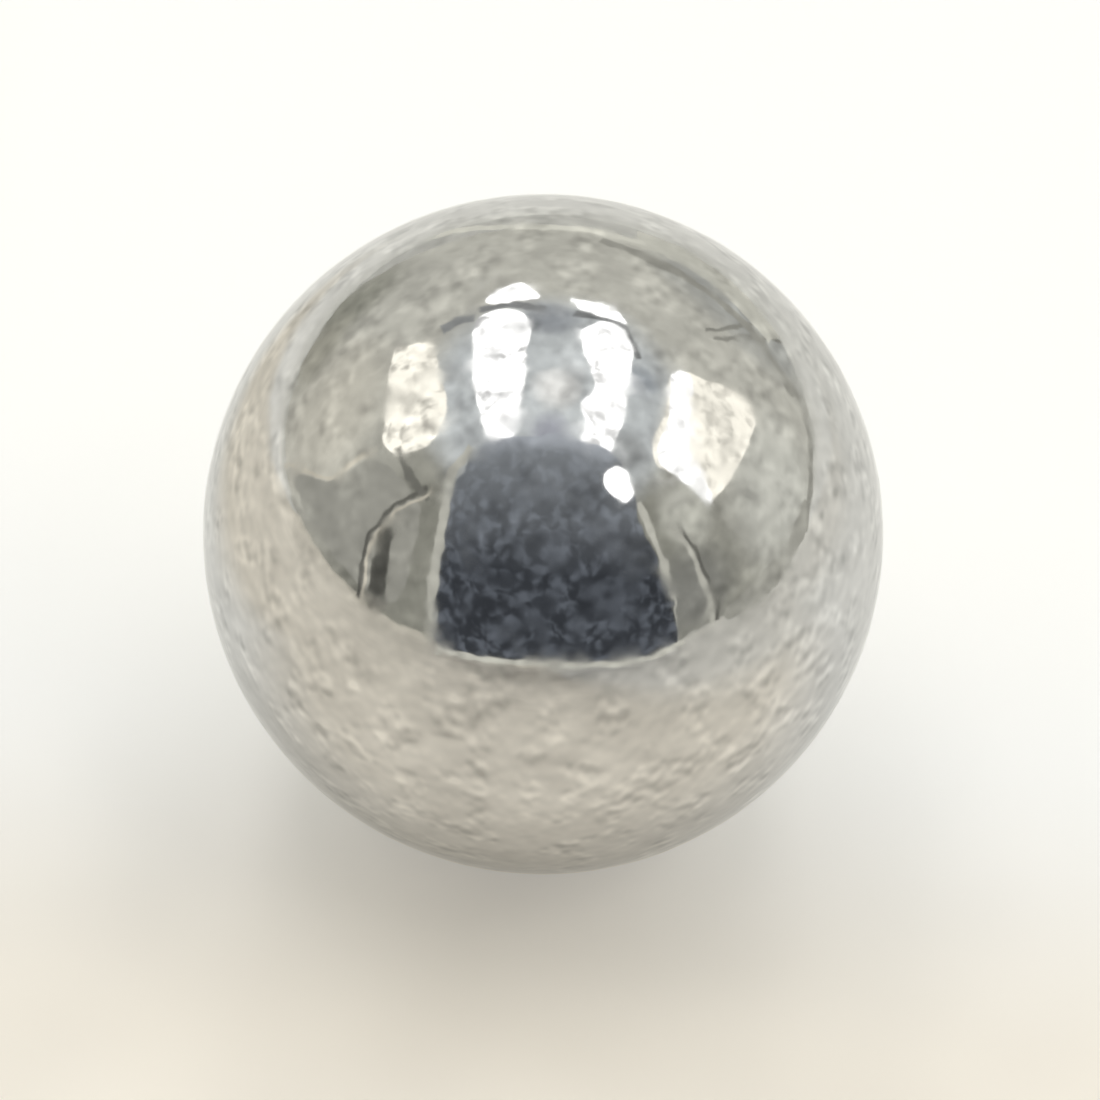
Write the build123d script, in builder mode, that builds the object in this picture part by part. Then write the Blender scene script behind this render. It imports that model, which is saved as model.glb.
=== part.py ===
"""A solid metal ball, ground and polished as one piece.

Sizes are in millimetres. The origin is the centre of the ball, and +Z is up.
"""

import os

from build123d import *

# Driving dimension: a half-inch ball
ball_diameter = 12.7

# Worked out from the driving dimension
ball_radius = ball_diameter / 2

# The arc of the half section runs from the lowest point of the ball to the highest
arc_start_deg = -90
arc_sweep_deg = 180

# Ball: half of its round section, turned once about the upright axis
with BuildPart() as ball:
    with BuildSketch(Plane.XZ) as half_section:
        with BuildLine() as section_outline:
            surface_arc = CenterArc((0, 0), ball_radius, arc_start_deg, arc_sweep_deg)
            Line(surface_arc @ 1, surface_arc @ 0)
        make_face()
    revolve(axis=Axis.Z)
ball.part.label = "ball"

os.makedirs("parts", exist_ok=True)
export_step(ball.part, "parts/ball.step")
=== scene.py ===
"""A mirror-polished steel ball, and the small studio that it is pictured in.

The file is laid out as a Blender add-on and is run as a script. Lengths are in metres, the origin is the
centre of the ball, and +Z is up. The camera looks along +Y and down.
"""

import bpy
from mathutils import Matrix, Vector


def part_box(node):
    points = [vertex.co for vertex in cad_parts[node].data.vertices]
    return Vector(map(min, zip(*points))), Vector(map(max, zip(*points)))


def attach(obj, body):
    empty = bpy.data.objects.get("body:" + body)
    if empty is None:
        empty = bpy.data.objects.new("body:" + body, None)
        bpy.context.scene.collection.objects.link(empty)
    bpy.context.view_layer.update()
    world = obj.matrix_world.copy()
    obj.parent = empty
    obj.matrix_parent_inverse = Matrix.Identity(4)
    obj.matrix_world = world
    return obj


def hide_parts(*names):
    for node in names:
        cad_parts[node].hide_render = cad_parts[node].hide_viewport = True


bl_info = {
    "name": "Polished Steel Ball",
    "version": (1, 0, 0),
    "blender": (4, 5, 0),
    "location": "View3D > Sidebar > Steel Ball",
    "description": "Builds a mirror-polished steel ball and the small studio that it is pictured in",
    "category": "Add Mesh",
}

import math
import random
from collections import namedtuple

import bmesh
import bpy
from bpy.props import FloatProperty, FloatVectorProperty, IntProperty, PointerProperty
from mathutils import Matrix, Vector, kdtree, noise

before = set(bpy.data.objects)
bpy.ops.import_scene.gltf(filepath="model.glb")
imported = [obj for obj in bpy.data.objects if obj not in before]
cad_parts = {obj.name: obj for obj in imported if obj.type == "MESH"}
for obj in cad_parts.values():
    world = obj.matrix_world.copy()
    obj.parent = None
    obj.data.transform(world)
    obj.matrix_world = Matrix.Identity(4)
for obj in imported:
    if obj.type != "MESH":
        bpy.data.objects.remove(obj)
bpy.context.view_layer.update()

# The frame's own box, and the ball that it holds
BALL_LOW, BALL_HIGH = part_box("ball")
BALL_RADIUS = (BALL_HIGH.z - BALL_LOW.z) / 2
BALL_CENTRE = (BALL_HIGH + BALL_LOW) / 2
FLOOR_HEIGHT = BALL_LOW.z

# The picture is square. The ball's place in it, in pixels from the top left corner
PICTURE_SIDE_PX = 1100
BALL_CENTRE_PX = (543.1, 534.1)
BALL_RADIUS_PX = 340.5

# Width of the camera's sensor in millimetres, and the nearest and farthest that it sees
SENSOR_WIDTH = 36.0
CLIP_START = 0.01
CLIP_END = 10.0

# Cuts along each edge of the cube that the ball is blown up from
GRID_CUTS = 126

# Shifts that keep the layers of waves apart, and the share of the finest one
SWELL_SHIFT = 3.1
RIPPLE_SHIFT = 7.7
FINE_RIPPLE_SHIFT = 11.3
FINE_RIPPLE_SHARE = 0.05

# Dents are drawn from a fixed seed, with shares of the widest radius and of the greatest depth
DENT_SEED = 12
DENT_RADIUS_SHARES = (0.5, 1.0)
DENT_DEPTH_SHARES = (0.2, 1.0)

# Finish of the steel: sizes of its painted pits, the patches they gather in, and its clouds, haze and peel
PIT_SIZE = 0.00042
PIT_PATCH_SIZE = 0.0007
CLOUD_SIZE = 0.0013
HAZE_SIZE = 0.0006
PEEL_SIZE = 0.0002
PEEL_DEPTH = 0.000001
# Upright scale of the pits' pattern: below one, the pits are taller than wide
PIT_UPRIGHT_SCALE = 0.9
# How far up the pattern is compared with itself, as a share of a pit's size
PIT_STEP = 0.3
PIT_DETAIL = 1.2
# Difference at which the painted pit shading is full, and how far it darkens or brightens the steel's colour
PIT_FULL_DIFFERENCE = 0.2
PIT_CONTRAST = 0.28
HAZE_ROUGHNESS = 0.15
# Tint of the steel's mirror where it is seen at a slant
SLANT_TINT = (0.84, 0.84, 0.83)


class BallSettings(bpy.types.PropertyGroup):
    """Sizes and colours of the ball"""

    radius: FloatProperty(
        name="Radius", description="Radius of the ball", default=BALL_RADIUS, unit="LENGTH", precision=5)
    steel_colour: FloatVectorProperty(
        name="Steel colour", description="Colour of the polished steel", subtype="COLOR",
        default=(0.60, 0.597, 0.588), min=0.0, max=1.0)
    roughness: FloatProperty(
        name="Roughness", description="Roughness of the best polished places", subtype="FACTOR",
        default=0.055, min=0.0, max=1.0)
    swell_width: FloatProperty(
        name="Swell width", description="Size of the broad waves left by grinding", default=0.0009,
        unit="LENGTH", precision=5)
    swell_depth: FloatProperty(
        name="Swell depth", description="Height of the broad waves", default=0.000009, unit="LENGTH",
        precision=7)
    ripple_width: FloatProperty(
        name="Ripple width", description="Size of the small waves left by polishing", default=0.00036,
        unit="LENGTH", precision=5)
    ripple_depth: FloatProperty(
        name="Ripple depth", description="Height of the small waves", default=0.0000024, unit="LENGTH",
        precision=7)
    dent_count: IntProperty(
        name="Dents", description="How many shallow dents the ball has", default=60, min=0)
    dent_radius: FloatProperty(
        name="Dent radius", description="Radius of the widest dents", default=0.0007, unit="LENGTH",
        precision=5)
    dent_depth: FloatProperty(
        name="Dent depth", description="Depth of the deepest dents", default=0.000004, unit="LENGTH",
        precision=7)


class StudioSettings(bpy.types.PropertyGroup):
    """Sizes and colours of the studio and its camera"""

    camera_elevation: FloatProperty(
        name="Camera elevation", description="How steeply the camera looks down", unit="ROTATION",
        default=math.radians(44))
    camera_roll: FloatProperty(
        name="Camera roll", description="Turn of the camera about its own line of sight", unit="ROTATION",
        default=math.radians(4))
    camera_distance: FloatProperty(
        name="Camera distance", description="From the ball's centre to the camera", unit="LENGTH",
        default=0.21)
    card_colour: FloatVectorProperty(
        name="Card colour", description="Colour of the white card under the ball", subtype="COLOR",
        default=(0.88, 0.872, 0.850), min=0.0, max=1.0)
    table_colour: FloatVectorProperty(
        name="Table colour", description="Colour of the table round the card", subtype="COLOR",
        default=(0.83, 0.775, 0.685), min=0.0, max=1.0)
    far_floor_colour: FloatVectorProperty(
        name="Far floor colour", description="Colour of the floor far behind and to the right",
        subtype="COLOR", default=(0.74, 0.735, 0.71), min=0.0, max=1.0)
    wall_colour: FloatVectorProperty(
        name="Wall colour", description="Light from the far side of the studio", subtype="COLOR",
        default=(0.76, 0.75, 0.67), min=0.0, max=1.0)
    near_colour: FloatVectorProperty(
        name="Near wall colour", description="Light from the camera's side of the studio", subtype="COLOR",
        default=(0.38, 0.378, 0.325), min=0.0, max=1.0)
    ceiling_colour: FloatVectorProperty(
        name="Ceiling colour", description="Light from straight overhead", subtype="COLOR",
        default=(0.78, 0.82, 0.83), min=0.0, max=1.0)
    flag_colour: FloatVectorProperty(
        name="Flag colour", description="Colour of the dark cloth behind the camera", subtype="COLOR",
        default=(0.056, 0.062, 0.073), min=0.0, max=1.0)
    flag_blot_colour: FloatVectorProperty(
        name="Flag blot colour", description="Colour of the paler blots on the dark cloth", subtype="COLOR",
        default=(0.18, 0.20, 0.235), min=0.0, max=1.0)
    flag_thin_colour: FloatVectorProperty(
        name="Flag thin colour", description="Light that comes through the thin part of the cloth",
        subtype="COLOR", default=(0.60, 0.64, 0.68), min=0.0, max=1.0)
    flag_top_colour: FloatVectorProperty(
        name="Flag top colour", description="Light that comes through the sheer top of the cloth",
        subtype="COLOR", default=(0.60, 0.64, 0.70), min=0.0, max=1.0)
    lamp_level: FloatProperty(
        name="Lamp level", description="Brightness of the overhead lamps", default=3.0, min=0.0)


# The camera's place, its three axes, and the side of the picture one metre in front of it
View = namedtuple("View", "eye right up back picture_side")

# A card of the studio: how far off it stands, its brightness, the share of it that the creases leave, its
# colour, and its outline by the pixels of the picture in which the ball mirrors it
Card = namedtuple("Card", "name distance level dimmest colour outline")
# A rod has a path and a width in pixels instead of an outline, and no creases
Rod = namedtuple("Rod", "name distance level colour path width")
WHITE = (1.0, 1.0, 1.0)
CREAM = (1.0, 0.965, 0.86)
BEIGE = (1.0, 0.94, 0.79)
OLIVE = (1.0, 0.99, 0.88)
COOL = (0.97, 1.0, 1.0)

# How large the creases of a screen are
CREASE_SIZE = 0.05

# How often the corners of an outline are cut, and the share of each side that a cut takes
CORNER_ROUNDS = 2
CORNER_CUT = 0.2

# The overhead lamps. Their levels are shares of the lamp level
LAMPS = (
    Card("strip_left", 0.60, 1.0, 0.28, WHITE, (
        (474, 322), (488, 311), (522, 311), (531, 330), (523, 405), (512, 440), (489, 440), (473, 390))),
    Card("strip_right", 0.60, 1.0, 0.36, WHITE, (
        (576, 332), (600, 322), (622, 328), (636, 350), (625, 404), (613, 455), (578, 447), (588, 424),
        (582, 404), (595, 391), (588, 366))),
    Card("end_left", 0.60, 1.0, 0.55, WHITE, (
        (480, 304), (498, 289), (521, 280), (546, 298), (513, 301))),
    Card("end_right", 0.60, 1.0, 0.55, WHITE, (
        (573, 296), (597, 301), (616, 310), (630, 326), (602, 317), (576, 308))),
    Card("round_lamp", 0.18, 1.0, 1.0, WHITE, (
        (617, 465), (604, 471), (602, 487), (625, 505), (634, 490), (630, 471))),
)

# Walls, boards and reflectors
CARDS = (
    Card("side_wall", 0.74, 0.48, 1.0, OLIVE, (
        (286, 468), (331, 484), (372, 452), (424, 498), (402, 604), (378, 604), (325, 550))),
    Card("side_board", 0.09, 0.51, 1.0, OLIVE, (
        (804, 492), (810, 512), (805, 536), (795, 553), (785, 575), (767, 597), (753, 607), (729, 624),
        (720, 616), (748, 590), (770, 568), (788, 540))),
    Card("reflector_left", 0.68, 1.85, 0.45, CREAM, (
        (392, 344), (413, 345), (432, 339), (439, 375), (447, 402), (438, 436), (420, 448), (397, 458),
        (382, 440), (390, 400))),
    Card("reflector_right", 0.68, 1.66, 0.62, CREAM, (
        (652, 440), (667, 412), (667, 380), (684, 369), (704, 378), (733, 391), (750, 406), (757, 422),
        (744, 453), (714, 505), (690, 487), (656, 465))),
    Card("reflector_bar", 0.66, 2.30, 0.55, WHITE, (
        (669, 378), (681, 368), (693, 378), (690, 425), (686, 452), (713, 492), (711, 506), (690, 489),
        (661, 466), (656, 446), (670, 420))),
)

# Stands, clips, hems and edges, each a thin rod
RODS = (
    Rod("end_shade_left", 0.60, 0.33, COOL, ((478, 310), (512, 304), (548, 310)), 6),
    Rod("end_shade_right", 0.60, 0.30, COOL, ((574, 312), (607, 321), (630, 331), (640, 360)), 6),
    # A pale rod: a painted highlight along the far board's top edge
    Rod("edge_top_highlight", 0.30, 0.98, OLIVE, (
        (376, 266), (414, 240), (470, 228), (540, 226), (600, 231), (648, 245)), 5),
    # A dark rod: a painted line of shade at the upper right
    Rod("edge_right_shade", 0.30, 0.48, OLIVE, ((600, 239), (683, 272), (752, 328), (784, 378), (794, 398)), 6),
    Rod("edge_board", 0.32, 0.84, OLIVE, ((634, 238), (688, 257), (738, 294), (776, 340)), 16),
    Rod("edge_side", 0.10, 0.46, OLIVE, (
        (792, 384), (802, 404), (809, 430), (812, 460), (811, 488), (805, 532)), 5),
    Rod("streak_upper", 0.60, 0.38, OLIVE, ((706, 331), (754, 325)), 4),
    Rod("streak_lower", 0.60, 0.40, OLIVE, ((713, 338), (748, 337), (781, 342)), 4),
    Rod("clip_left", 0.60, 0.44, COOL, ((442, 331), (458, 322), (474, 318)), 8),
    Rod("stand_left_slot", 0.50, 0.12, OLIVE, ((388, 524), (380, 560), (375, 612)), 14),
    Rod("stand_left_edge", 0.48, 0.80, BEIGE, ((362, 606), (369, 544), (395, 511), (432, 488)), 3),
    Rod("stand_left_rim", 0.50, 0.16, OLIVE, ((358, 602), (366, 540), (390, 509), (424, 486)), 4),
    Rod("stand_left_brace", 0.50, 0.24, OLIVE, ((400, 446), (409, 478), (426, 498)), 7),
    Rod("stand_right_edge", 0.48, 0.72, OLIVE, ((672, 526), (697, 566), (710, 600), (713, 636)), 5),
    Rod("stand_right_rim", 0.50, 0.18, OLIVE, ((678, 522), (703, 566), (716, 602), (718, 636)), 4),
    Rod("flag_hem_left", 0.50, 0.72, OLIVE, ((474, 448), (449, 476), (443, 525), (433, 600), (429, 648)), 10),
    Rod("flag_hem_right", 0.50, 0.80, OLIVE, ((638, 502), (661, 556), (671, 598), (677, 652)), 7),
    # A pale rod: a painted highlight along the table's edge at the flag's foot
    Rod("flag_foot_highlight", 0.10, 0.86, OLIVE, (
        (434, 650), (464, 657), (510, 662), (600, 667), (650, 658), (686, 642)), 6),
    Rod("wall_edge", 0.73, 0.85, BEIGE, ((284, 464), (331, 480), (350, 462), (376, 450)), 4),
)

# Soft tones on the walls: the pixel that mirrors the middle, the reach in pixels, and the colour
Tone = namedtuple("Tone", "pixel reach colour")
TONES = (
    Tone((330, 410), 75, (0.86, 0.83, 0.72)),
    Tone((348, 306), 44, (0.40, 0.40, 0.34)),
    Tone((318, 352), 34, (0.46, 0.45, 0.38)),
    Tone((745, 310), 65, (0.56, 0.57, 0.54)),
    Tone((775, 490), 75, (0.86, 0.86, 0.78)),
    Tone((692, 592), 56, (0.34, 0.34, 0.31)),
    Tone((686, 516), 36, (0.80, 0.80, 0.71)),
    Tone((553, 318), 26, (0.46, 0.49, 0.52)),
    Tone((558, 388), 28, (1.15, 1.15, 1.12)),
    Tone((628, 452), 26, (0.50, 0.52, 0.52)),
    Tone((550, 432), 26, (0.58, 0.60, 0.67)),
    Tone((640, 382), 20, (0.44, 0.48, 0.52)),
    Tone((700, 435), 50, (1.10, 1.08, 0.98)),
)

# A zone along one axis: where it starts, where it is full, and its share there
Zone = namedtuple("Zone", "start end share")

# The walls from the camera's side to the far side, and the ceiling, along directions of length one
FAR_WALLS = Zone(-0.60, 0.40, 1.0)
CEILING = Zone(0.70, 0.85, 1.0)

# The floor's warm and grey zones, in ball radii from the ball
WARM_LEFT = Zone(-1.6, -3.0, 1.0)
WARM_RIGHT = Zone(3.5, 7.0, 0.8)
WARM_BESIDE = Zone(7.0, 4.0, 1.0)
WARM_BEFORE = Zone(0.3, -1.2, 1.0)
GREY_BEHIND = Zone(8.0, 22.0, 1.0)
GREY_RIGHT = Zone(1.8, 4.5, 0.7)

FLOOR_RADIUS = 2.0
FLOOR_SIDES = 96
FLOOR_ROUGHNESS = 0.45
# Share of its own colour that the floor adds where it is seen directly or in the ball's mirror
FLOOR_GLOW = 0.25

# The oval board that leans at the far edge of the table
BOARD_HALF_SIZE = (0.24, 0.16, 1.0)
BOARD_LEAN = math.radians(38)
BOARD_PLACE = (-0.02, 0.42, FLOOR_HEIGHT)
BOARD_SIDES = 64

# The dark cloth behind the camera, by the pixels that mirror its outline
FLAG_DISTANCE = 0.22
FLAG_OUTLINE = (
    (433, 630), (442, 570), (452, 490), (480, 444), (542, 428), (618, 449), (630, 482), (640, 526),
    (670, 590), (678, 630), (679, 643), (671, 648), (650, 655), (628, 660), (600, 663), (540, 660),
    (480, 656), (458, 653), (437, 649), (430, 643))
# Heights at which the flag thins out, as shares of its distance
FLAG_THIN = Zone(0.42, 0.90, 0.45)
FLAG_SHEER = Zone(0.885, 0.975, 0.95)
# Where shade is painted on the floor in front of the flag, and how much light is left in the middle of it
FLAG_SHADE_MIDDLE = (0.0, -0.10, 0.0)
FLAG_SHADE_WIDENING = 1.7
FLAG_SHADE_REACH = 0.07
FLAG_SHADE_LIGHT = 0.62


def add_node(tree, kind, inputs=(), **attributes):
    """A shader node. Each input is given a value, or a socket to be joined to."""
    node = tree.nodes.new(kind)
    for name, value in attributes.items():
        setattr(node, name, value)
    for name, value in dict(inputs).items():
        if isinstance(value, bpy.types.NodeSocket):
            tree.links.new(value, node.inputs[name])
        else:
            node.inputs[name].default_value = value
    return node


def new_material(name):
    """An empty node material and its tree."""
    material = bpy.data.materials.new(name)
    material.use_nodes = True
    material.node_tree.nodes.clear()
    return material, material.node_tree


def own_place(tree):
    """Coordinates of the piece itself."""
    return add_node(tree, "ShaderNodeTexCoord").outputs["Object"]


def close_material(tree, shader, output):
    """Joins the finished shader to the material's output."""
    add_node(tree, "ShaderNodeOutputMaterial", {"Surface": shader.outputs[output]})


def opaque(colour):
    """A colour with full alpha, as colour sockets want it."""
    return (*colour, 1.0)


def work_out(tree, operation, first, second):
    """The result of a sum on two values."""
    return add_node(tree, "ShaderNodeMath", {0: first, 1: second}, operation=operation).outputs["Value"]


def spread(tree, value, low, high, at_low, at_high, smooth=False):
    """A value stretched from one range to another and held inside it."""
    kind = "SMOOTHSTEP" if smooth else "LINEAR"
    limits = {"Value": value, "From Min": low, "From Max": high, "To Min": at_low, "To Max": at_high}
    return add_node(tree, "ShaderNodeMapRange", limits, interpolation_type=kind).outputs["Result"]


def into_zone(tree, along, zone, unit=1.0, smooth=True):
    """How far a place lies into a zone, up to the zone's share."""
    return spread(tree, along, unit * zone.start, unit * zone.end, 0.0, zone.share, smooth)


def blend(tree, amount, first, second, kind="MIX"):
    """Two colours mixed by an amount."""
    parts = {"Factor": amount, "A": first, "B": second}
    return add_node(tree, "ShaderNodeMix", parts, data_type="RGBA", blend_type=kind).outputs["Result"]


def tint(tree, first, second):
    """Two colours multiplied."""
    return blend(tree, 1.0, first, second, "MULTIPLY")


def grain(tree, place, size, detail=0.0, roughness=0.5):
    """Soft noise whose largest blots are about one size across."""
    shape = {"Vector": place, "Scale": 1 / size, "Detail": detail, "Roughness": roughness}
    return add_node(tree, "ShaderNodeTexNoise", shape).outputs["Fac"]


def blot_group():
    """The node group of soft blots that every mottled surface shares. It is built once."""
    group = bpy.data.node_groups.get("soft_blots")
    if group:
        return group
    group = bpy.data.node_groups.new("soft_blots", "ShaderNodeTree")
    group.interface.new_socket("Place", in_out="INPUT", socket_type="NodeSocketVector")
    for name in ("Size", "Detail", "Roughness", "Low", "High", "At Low", "At High"):
        group.interface.new_socket(name, in_out="INPUT", socket_type="NodeSocketFloat")
    group.interface.new_socket("Amount", in_out="OUTPUT", socket_type="NodeSocketFloat")
    given = add_node(group, "NodeGroupInput").outputs
    cloud = add_node(group, "ShaderNodeTexNoise", {
        "Vector": given["Place"], "Scale": work_out(group, "DIVIDE", 1.0, given["Size"]),
        "Detail": given["Detail"], "Roughness": given["Roughness"]})
    amount = spread(group, cloud.outputs["Fac"], given["Low"], given["High"], given["At Low"],
                    given["At High"], smooth=True)
    add_node(group, "NodeGroupOutput", {"Amount": amount})
    return group


def blots(tree, place, size, low, high, at_low, at_high, detail=0.0, roughness=0.5):
    """Soft blots: noise of one size, whose part from low to high runs smoothly from one amount to another."""
    values = {
        "Place": place, "Size": size, "Detail": detail, "Roughness": roughness, "Low": low, "High": high,
        "At Low": at_low, "At High": at_high}
    return add_node(tree, "ShaderNodeGroup", values, node_tree=blot_group()).outputs["Amount"]


def painted_pit_shading(tree, place):
    """Painted shade and highlight of small pits: how much a soft noise falls from each place to one above it.
    """
    scaling = {"Vector": place, "Scale": (1, 1, PIT_UPRIGHT_SCALE)}
    scaled = add_node(tree, "ShaderNodeMapping", scaling).outputs["Vector"]
    raising = {"Vector": scaled, "Location": (0, 0, PIT_SIZE * PIT_STEP)}
    above = add_node(tree, "ShaderNodeMapping", raising).outputs["Vector"]
    here = grain(tree, scaled, PIT_SIZE, PIT_DETAIL)
    there = grain(tree, above, PIT_SIZE, PIT_DETAIL)
    return work_out(tree, "SUBTRACT", here, there)


def polished_steel(settings):
    """Mirror-polished steel with patches of small painted pits, faint clouds, a haze and a fine orange peel.
    """
    material, tree = new_material("polished_steel")
    place = own_place(tree)

    patches = blots(tree, place, PIT_PATCH_SIZE, low=0.42, high=0.62, at_low=0.3, at_high=1.0)
    # The pits are painted into the steel's colour: painted shade where the noise falls upwards, painted
    # highlight where it rises
    painted_pits = work_out(tree, "MULTIPLY", painted_pit_shading(tree, place), patches)
    shade = spread(tree, painted_pits, -PIT_FULL_DIFFERENCE, PIT_FULL_DIFFERENCE, 1 + PIT_CONTRAST, 1 - PIT_CONTRAST)
    clouds = blots(tree, place, CLOUD_SIZE, low=0.35, high=0.65, at_low=0.95, at_high=1.05, detail=2.0)
    colour = tint(tree, tint(tree, opaque(settings.steel_colour), clouds), shade)

    roughness = blots(tree, place, HAZE_SIZE, low=0.45, high=0.75, at_low=settings.roughness,
                      at_high=HAZE_ROUGHNESS, detail=1.0)

    peel = grain(tree, place, PEEL_SIZE)
    bump = add_node(tree, "ShaderNodeBump", {"Height": peel, "Strength": 1.0, "Distance": PEEL_DEPTH})

    steel = add_node(tree, "ShaderNodeBsdfPrincipled", {
        "Metallic": 1.0, "Base Color": colour, "Roughness": roughness, "Normal": bump.outputs["Normal"],
        "Specular Tint": opaque(SLANT_TINT)})
    close_material(tree, steel, "BSDF")
    return material


def wave(outward, radius, width, shift):
    """Smooth noise over the ball, between about minus one and one."""
    return noise.noise(outward * (radius / width) + Vector((shift, shift, shift)))


def skin_height(outward, settings):
    """Height of the polished skin above its mean level, where the surface faces outward."""
    swell = wave(outward, settings.radius, settings.swell_width, SWELL_SHIFT)
    ripple = wave(outward, settings.radius, settings.ripple_width, RIPPLE_SHIFT)
    fine_ripple = wave(outward, settings.radius, settings.ripple_width / 2, FINE_RIPPLE_SHIFT)
    ripples = ripple + fine_ripple * FINE_RIPPLE_SHARE
    return swell * settings.swell_depth / 2 + ripples * settings.ripple_depth / 2


def press_dents(shape, settings):
    """Presses shallow round dents into the ball at places drawn from a fixed seed."""
    draw = random.Random(DENT_SEED)
    places = kdtree.KDTree(len(shape.verts))
    for index, vertex in enumerate(shape.verts):
        places.insert(vertex.co, index)
    places.balance()
    shape.verts.ensure_lookup_table()
    for _ in range(settings.dent_count):
        outward = Vector((draw.gauss(0, 1), draw.gauss(0, 1), draw.gauss(0, 1))).normalized()
        reach = settings.dent_radius * draw.uniform(*DENT_RADIUS_SHARES)
        depth = settings.dent_depth * draw.uniform(*DENT_DEPTH_SHARES)
        for _, index, gap in places.find_range(BALL_CENTRE + outward * settings.radius, reach):
            bowl = (1 - (gap / reach) ** 2) ** 2
            shape.verts[index].co -= outward * depth * bowl


class STEELBALL_OT_ball(bpy.types.Operator):
    """Build the polished ball in place of its plain solid"""

    bl_idname = "steel_ball.make_ball"
    bl_label = "Make Ball"

    def execute(self, context):
        settings = context.scene.steel_ball
        shape = bmesh.new()
        bmesh.ops.create_cube(shape, size=2.0)
        bmesh.ops.subdivide_edges(shape, edges=shape.edges[:], cuts=GRID_CUTS, use_grid_fill=True)
        # The tangent spaces the cube's grid evenly over the ball
        highest = 0.0
        for vertex in shape.verts:
            outward = Vector(math.tan(part * math.pi / 4) for part in vertex.co).normalized()
            height = skin_height(outward, settings)
            highest = max(highest, height)
            vertex.co = outward * (settings.radius + height)
        # The highest wave is brought down to the ball's radius, so that the skin stays inside the solid
        for vertex in shape.verts:
            vertex.co = BALL_CENTRE + vertex.co * (1 - highest / settings.radius)
        press_dents(shape, settings)
        for face in shape.faces:
            face.smooth = True
        mesh = bpy.data.meshes.new("polished_ball")
        shape.to_mesh(mesh)
        shape.free()
        ball = bpy.data.objects.new("polished_ball", mesh)
        context.scene.collection.objects.link(ball)
        mesh.materials.append(polished_steel(settings))
        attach(ball, "root")
        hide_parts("ball")
        return {"FINISHED"}


def camera_view(settings):
    """Where the camera stands and how it is turned, so that the ball fills its place in the picture."""
    turn_down = settings.camera_elevation
    back = Vector((0.0, -math.cos(turn_down), math.sin(turn_down)))
    level_right = Vector((1.0, 0.0, 0.0))
    roll = Matrix.Rotation(settings.camera_roll, 3, back)
    right = roll @ level_right
    up = roll @ back.cross(level_right)
    px_size = BALL_RADIUS / BALL_RADIUS_PX
    aside = (PICTURE_SIDE_PX / 2 - BALL_CENTRE_PX[0]) * px_size
    above = (BALL_CENTRE_PX[1] - PICTURE_SIDE_PX / 2) * px_size
    eye = BALL_CENTRE + right * aside + up * above + back * settings.camera_distance
    half_angle = math.asin(BALL_RADIUS / settings.camera_distance)
    picture_side = math.tan(half_angle) * PICTURE_SIDE_PX / BALL_RADIUS_PX
    return View(eye, right, up, back, picture_side)


def mirrored(view, pixel, distance):
    """The point, this far from the ball, that a smooth ball mirrors in a pixel of the picture."""
    aside = (pixel[0] / PICTURE_SIDE_PX - 0.5) * view.picture_side
    above = (0.5 - pixel[1] / PICTURE_SIDE_PX) * view.picture_side
    sight = (view.right * aside + view.up * above - view.back).normalized()
    from_centre = view.eye - BALL_CENTRE
    nearing = -sight.dot(from_centre)
    half_chord = math.sqrt(nearing ** 2 - from_centre.length_squared + BALL_RADIUS ** 2)
    spot = view.eye + sight * (nearing - half_chord)
    return spot + sight.reflect((spot - BALL_CENTRE).normalized()) * distance


def add_stage_piece(context, name, shape, material, seen=False):
    """Turns a finished bmesh into a piece of the stage. Only the floor is seen by the camera itself."""
    mesh = bpy.data.meshes.new(name)
    shape.to_mesh(mesh)
    shape.free()
    mesh.materials.append(material)
    piece = bpy.data.objects.new(name, mesh)
    piece.visible_camera = seen
    context.scene.collection.objects.link(piece)
    return piece


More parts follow.
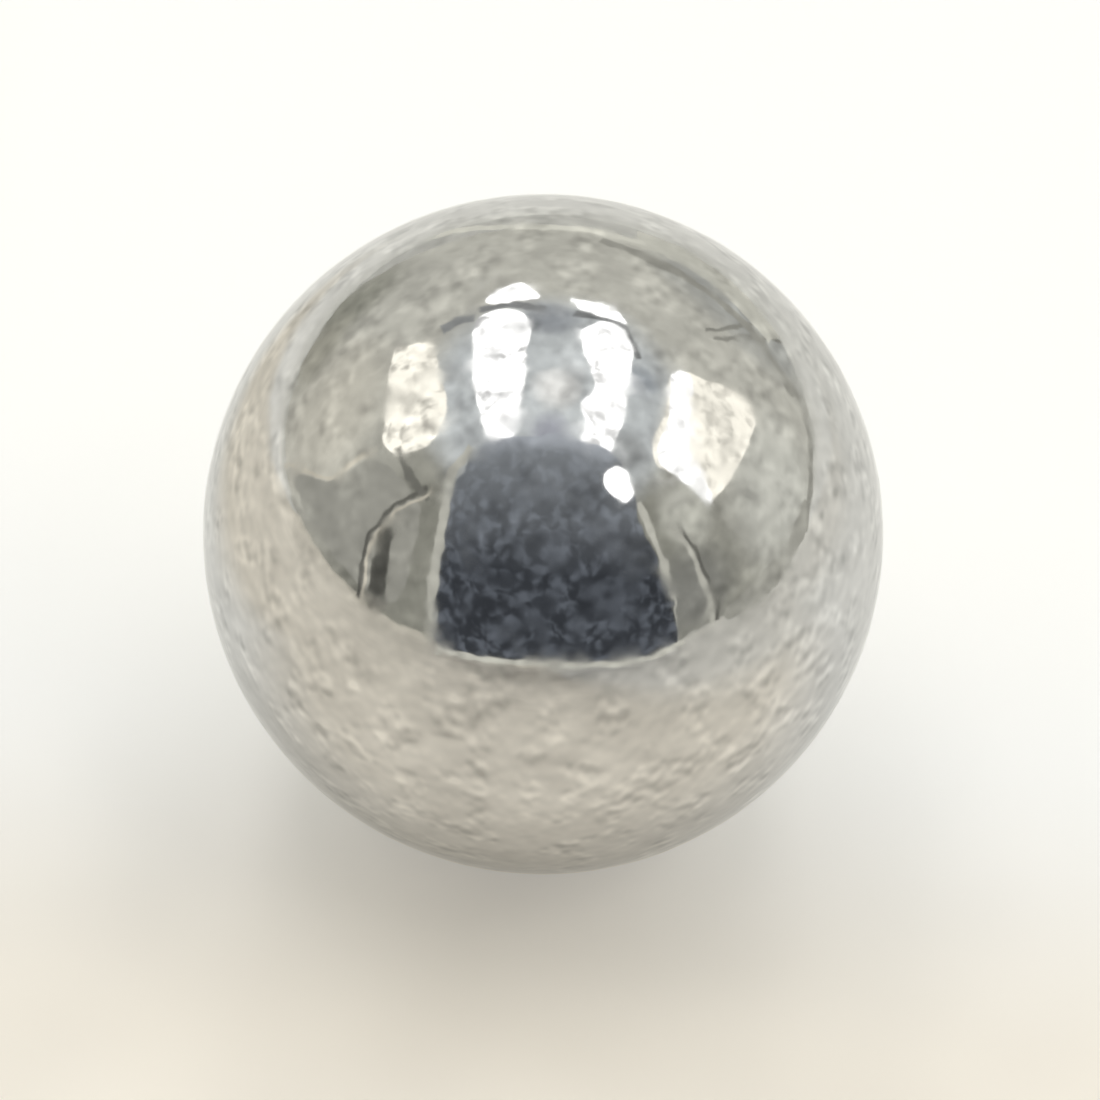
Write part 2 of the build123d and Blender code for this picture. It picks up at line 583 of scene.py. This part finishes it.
def floor_material(settings):
    """A pale floor: white round the ball, warm in front and at the sides, greyer far off, with shade painted
    in front of the flag.
    """
    material, tree = new_material("pale_floor")
    place = own_place(tree)
    along = add_node(tree, "ShaderNodeSeparateXYZ", {"Vector": place}).outputs
    across, depth = along["X"], along["Y"]

    left = into_zone(tree, across, WARM_LEFT, BALL_RADIUS)
    right = into_zone(tree, across, WARM_RIGHT, BALL_RADIUS)
    beside = into_zone(tree, depth, WARM_BESIDE, BALL_RADIUS)
    before = into_zone(tree, depth, WARM_BEFORE, BALL_RADIUS)
    flanks = work_out(tree, "MULTIPLY", work_out(tree, "MAXIMUM", left, right), beside)
    warm = work_out(tree, "MAXIMUM", flanks, before)
    stains = blots(tree, place, size=0.02, low=0.3, high=0.7, at_low=0.90, at_high=1.05, detail=3.0,
                   roughness=0.8)
    table = tint(tree, opaque(settings.table_colour), stains)
    near = blend(tree, warm, opaque(settings.card_colour), table)

    behind = into_zone(tree, depth, GREY_BEHIND, BALL_RADIUS)
    far_right = into_zone(tree, across, GREY_RIGHT, BALL_RADIUS)
    far = work_out(tree, "MAXIMUM", behind, far_right)
    open_floor = blend(tree, far, near, opaque(settings.far_floor_colour))

    # Painted shade on the floor in front of the flag, darkest in its middle
    narrowing = (1 / FLAG_SHADE_WIDENING, 1, 1)
    narrowed = add_node(tree, "ShaderNodeMapping", {"Vector": place, "Scale": narrowing})
    ends = {0: narrowed.outputs["Vector"], 1: FLAG_SHADE_MIDDLE}
    from_shade = add_node(tree, "ShaderNodeVectorMath", ends, operation="DISTANCE").outputs["Value"]
    shade = spread(tree, from_shade, 0.0, FLAG_SHADE_REACH, FLAG_SHADE_LIGHT, 1.0, smooth=True)
    colour = tint(tree, open_floor, shade)

    path = add_node(tree, "ShaderNodeLightPath").outputs
    mirrored_ray = work_out(tree, "MAXIMUM", path["Is Glossy Ray"], path["Is Transmission Ray"])
    seen = work_out(tree, "MAXIMUM", path["Is Camera Ray"], mirrored_ray)
    shader = add_node(tree, "ShaderNodeBsdfPrincipled", {
        "Base Color": colour, "Roughness": FLOOR_ROUGHNESS, "Emission Color": colour,
        "Emission Strength": work_out(tree, "MULTIPLY", seen, FLOOR_GLOW)})
    close_material(tree, shader, "BSDF")
    return material


def add_floor(context, settings):
    """The round floor that the ball stands on."""
    shape = bmesh.new()
    bmesh.ops.create_circle(shape, cap_ends=True, segments=FLOOR_SIDES, radius=FLOOR_RADIUS)
    floor = add_stage_piece(context, "floor", shape, floor_material(settings), seen=True)
    floor.location.z = FLOOR_HEIGHT


def matt_material(name, colour):
    """A plain matt surface of one colour, for what stands round the ball."""
    material, tree = new_material(name)
    shader = add_node(tree, "ShaderNodeBsdfPrincipled", {
        "Base Color": opaque(colour), "Roughness": 1.0, "Specular IOR Level": 0.0})
    close_material(tree, shader, "BSDF")
    return material


def add_far_board(context, settings):
    """The oval board that leans at the far edge of the table."""
    shape = bmesh.new()
    bmesh.ops.create_circle(shape, cap_ends=True, segments=BOARD_SIDES, radius=1.0)
    bmesh.ops.scale(shape, vec=BOARD_HALF_SIZE, verts=shape.verts)
    lean = Matrix.Rotation(BOARD_LEAN, 3, "X")
    bmesh.ops.rotate(shape, cent=(0, 0, 0), matrix=lean, verts=shape.verts)
    bmesh.ops.translate(shape, vec=BOARD_PLACE, verts=shape.verts)
    add_stage_piece(context, "far_board", shape, matt_material("board_white", settings.card_colour))


def glow_material(name, colour, level, dimmest=1.0):
    """A lit screen or a reflector of a given brightness, whose creases leave the dimmest share of it."""
    material, tree = new_material(name)
    shaded = opaque(colour)
    if dimmest < 1.0:
        creases = blots(tree, own_place(tree), CREASE_SIZE, low=0.32, high=0.56, at_low=dimmest, at_high=1.0,
                        detail=2.0, roughness=0.6)
        shaded = tint(tree, opaque(colour), creases)
    glow = add_node(tree, "ShaderNodeEmission", {"Color": shaded, "Strength": level})
    close_material(tree, glow, "Emission")
    return material


def flag_cloth(settings):
    """Dark cloth with paler blots, which thins out along its top."""
    material, tree = new_material("flag_cloth")
    place = own_place(tree)
    height = add_node(tree, "ShaderNodeSeparateXYZ", {"Vector": place}).outputs["Z"]
    pale = blots(tree, place, size=0.012, low=0.40, high=0.70, at_low=0.0, at_high=1.0, detail=1.5)
    dark = blend(tree, pale, opaque(settings.flag_colour), opaque(settings.flag_blot_colour))
    thin = into_zone(tree, height, FLAG_THIN, FLAG_DISTANCE, smooth=False)
    thinner = blend(tree, thin, dark, opaque(settings.flag_thin_colour))
    sheer = into_zone(tree, height, FLAG_SHEER, FLAG_DISTANCE, smooth=False)
    colour = blend(tree, sheer, thinner, opaque(settings.flag_top_colour))
    close_material(tree, add_node(tree, "ShaderNodeEmission", {"Color": colour}), "Emission")
    return material


def rounded(points, closed):
    """A chain of points with its corners cut more than once, which leaves it smooth."""
    for _ in range(CORNER_ROUNDS):
        ends = points[1:] + points[:1] if closed else points[1:]
        shares = (CORNER_CUT, 1 - CORNER_CUT)
        cuts = [start.lerp(end, share) for start, end in zip(points, ends) for share in shares]
        points = cuts if closed else [points[0], *cuts, points[-1]]
    return points


def add_card(context, view, name, distance, outline, material):
    """A card whose mirror picture in the ball has a given outline."""
    shape = bmesh.new()
    for pixel in rounded([Vector(corner) for corner in outline], closed=True):
        shape.verts.new(mirrored(view, pixel, distance))
    shape.faces.new(shape.verts)
    bmesh.ops.triangulate(shape, faces=shape.faces[:])
    add_stage_piece(context, name, shape, material)


def add_rod(context, view, rod, material):
    """A thin rod whose mirror picture in the ball follows a given path."""
    shape = bmesh.new()
    path = rounded([Vector(corner) for corner in rod.path], closed=False)
    for side in (-0.5, 0.5):
        last = None
        for index, pixel in enumerate(path):
            along = path[min(index + 1, len(path) - 1)] - path[max(index - 1, 0)]
            across = along.orthogonal().normalized() * rod.width * side
            vertex = shape.verts.new(mirrored(view, pixel + across, rod.distance))
            if last:
                shape.edges.new((last, vertex))
            last = vertex
    bmesh.ops.bridge_loops(shape, edges=shape.edges[:])
    add_stage_piece(context, rod.name, shape, material)


def light_world(context, settings, view):
    """Walls that brighten away from the camera, with soft tones on them, and a pale ceiling."""
    world = bpy.data.worlds.new("studio")
    world.use_nodes = True
    tree = world.node_tree
    tree.nodes.clear()
    place = add_node(tree, "ShaderNodeTexCoord").outputs["Generated"]
    heading = add_node(tree, "ShaderNodeSeparateXYZ", {"Vector": place}).outputs
    far = into_zone(tree, heading["Y"], FAR_WALLS)
    walls = blend(tree, far, opaque(settings.near_colour), opaque(settings.wall_colour))
    overhead = into_zone(tree, heading["Z"], CEILING)
    dome = blend(tree, overhead, walls, opaque(settings.ceiling_colour))
    for tone in TONES:
        middle = (mirrored(view, tone.pixel, 1.0) - BALL_CENTRE).normalized()
        closeness = add_node(tree, "ShaderNodeVectorMath", {0: place, 1: middle}, operation="DOT_PRODUCT")
        edge = math.cos(2 * tone.reach / BALL_RADIUS_PX)
        amount = spread(tree, closeness.outputs["Value"], edge, 1.0, 0.0, 1.0, smooth=True)
        dome = blend(tree, amount, dome, opaque(tone.colour))
    stains = blots(tree, place, size=0.18, low=0.3, high=0.7, at_low=0.86, at_high=1.12, detail=3.0,
                   roughness=0.7)
    glow = add_node(tree, "ShaderNodeBackground", {"Color": tint(tree, dome, stains)})
    add_node(tree, "ShaderNodeOutputWorld", {"Surface": glow.outputs["Background"]})
    # The walls are soft, so the renderer needs no aimed rays to find their light
    world.cycles.sampling_method = "NONE"
    context.scene.world = world


def add_camera(context, view):
    """The camera of the picture."""
    data = bpy.data.cameras.new("camera")
    data.sensor_width = SENSOR_WIDTH
    data.lens = data.sensor_width / view.picture_side
    data.clip_start = CLIP_START
    data.clip_end = CLIP_END
    camera = bpy.data.objects.new("camera", data)
    turned = Matrix((view.right, view.up, view.back)).transposed().to_4x4()
    turned.translation = view.eye
    camera.matrix_world = turned
    context.scene.collection.objects.link(camera)
    context.scene.camera = camera


class STEELBALL_OT_stage(bpy.types.Operator):
    """Set up the floor, the lights and the camera"""

    bl_idname = "steel_ball.set_stage"
    bl_label = "Set Stage"

    def execute(self, context):
        settings = context.scene.steel_studio
        context.scene.view_settings.view_transform = "Standard"
        view = camera_view(settings)
        add_floor(context, settings)
        add_far_board(context, settings)
        for lamp in LAMPS:
            screen = glow_material(lamp.name, lamp.colour, lamp.level * settings.lamp_level, lamp.dimmest)
            add_card(context, view, lamp.name, lamp.distance, lamp.outline, screen)
        for card in CARDS:
            cloth = glow_material(card.name, card.colour, card.level, card.dimmest)
            add_card(context, view, card.name, card.distance, card.outline, cloth)
        for rod in RODS:
            plain = glow_material(rod.name, rod.colour, rod.level)
            # A thin rod gives hardly any light, so the renderer aims no rays at it
            plain.cycles.emission_sampling = "NONE"
            add_rod(context, view, rod, plain)
        add_card(context, view, "flag", FLAG_DISTANCE, FLAG_OUTLINE, flag_cloth(settings))
        light_world(context, settings, view)
        add_camera(context, view)
        return {"FINISHED"}


class STEELBALL_PT_sidebar(bpy.types.Panel):
    """Lists the steps that build the ball and its studio"""

    bl_label = "Steel Ball"
    bl_idname = "STEELBALL_PT_sidebar"
    bl_space_type = "VIEW_3D"
    bl_region_type = "UI"
    bl_category = "Steel Ball"

    def draw(self, context):
        self.layout.operator(STEELBALL_OT_ball.bl_idname)
        self.layout.operator(STEELBALL_OT_stage.bl_idname)


CLASSES = (BallSettings, StudioSettings, STEELBALL_OT_ball, STEELBALL_OT_stage, STEELBALL_PT_sidebar)


def register():
    """Adds the classes and their settings to Blender."""
    for kind in CLASSES:
        bpy.utils.register_class(kind)
    bpy.types.Scene.steel_ball = PointerProperty(type=BallSettings)
    bpy.types.Scene.steel_studio = PointerProperty(type=StudioSettings)


def unregister():
    """Takes the classes and their settings out again."""
    del bpy.types.Scene.steel_studio
    del bpy.types.Scene.steel_ball
    for kind in reversed(CLASSES):
        bpy.utils.unregister_class(kind)


def main():
    """Builds the ball and its studio."""
    register()
    bpy.ops.steel_ball.make_ball()
    bpy.ops.steel_ball.set_stage()


if __name__ == "__main__":
    main()
